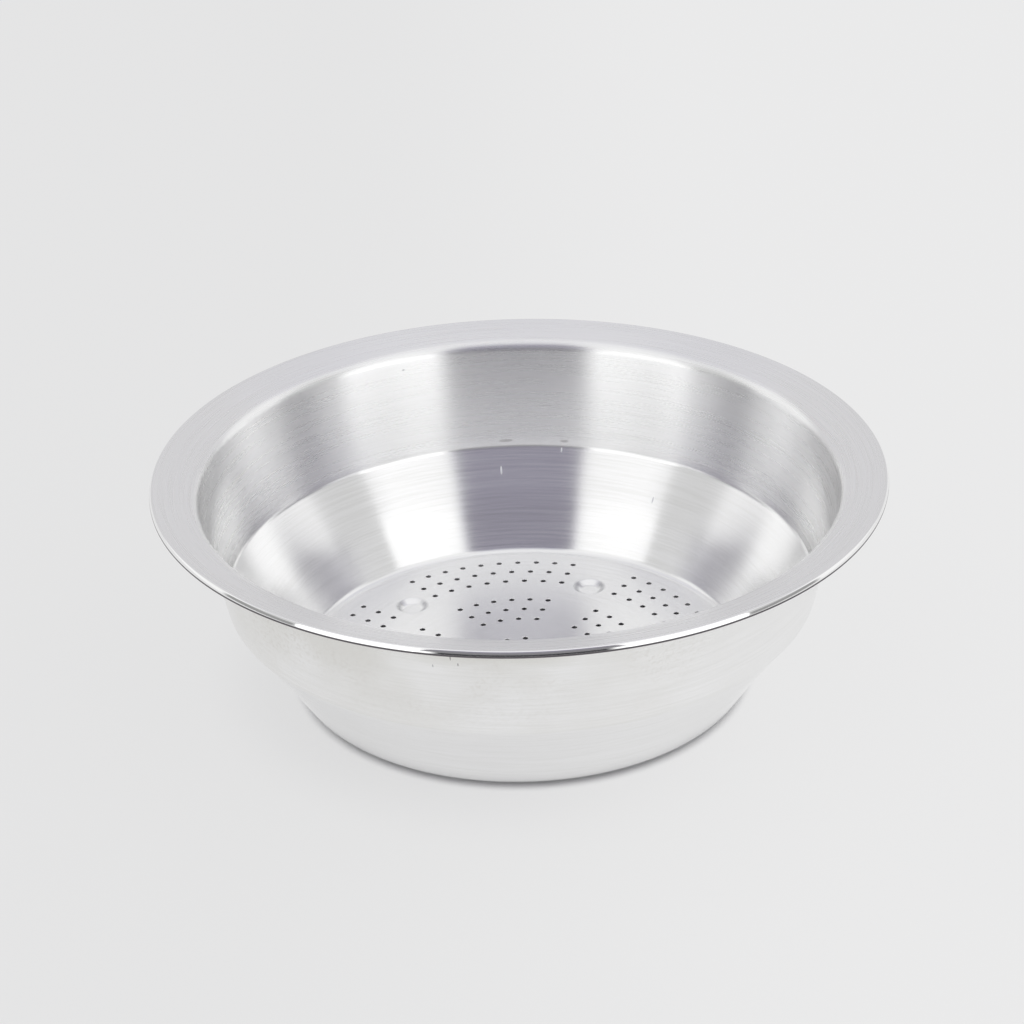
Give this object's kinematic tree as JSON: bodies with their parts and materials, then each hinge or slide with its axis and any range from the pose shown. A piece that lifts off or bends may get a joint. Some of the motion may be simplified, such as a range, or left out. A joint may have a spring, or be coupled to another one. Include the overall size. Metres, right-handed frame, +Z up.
{
  "type": "rice colander",
  "caption": "Round aluminium rice colander with a perforated floor on pressed feet, a two-stage wall, a wide sloping flange and a rolled wired edge.",
  "frame": {"origin": "middle of the plane that the five feet stand on", "axes": "+Z up along the bowl's axis, out of its mouth; +Y to the back of the pictured view and +X to its right"},
  "size_m": [0.32, 0.32, 0.1006],
  "materials": {
    "bowl": "spun bright, fine lathe lines round the axis, polished edge",
    "rim_wire": "plain drawn wire"
  },
  "bodies": {
    "root": {"bowl": "bowl", "rim_wire": "rim_wire"}
  },
  "joints": []
}
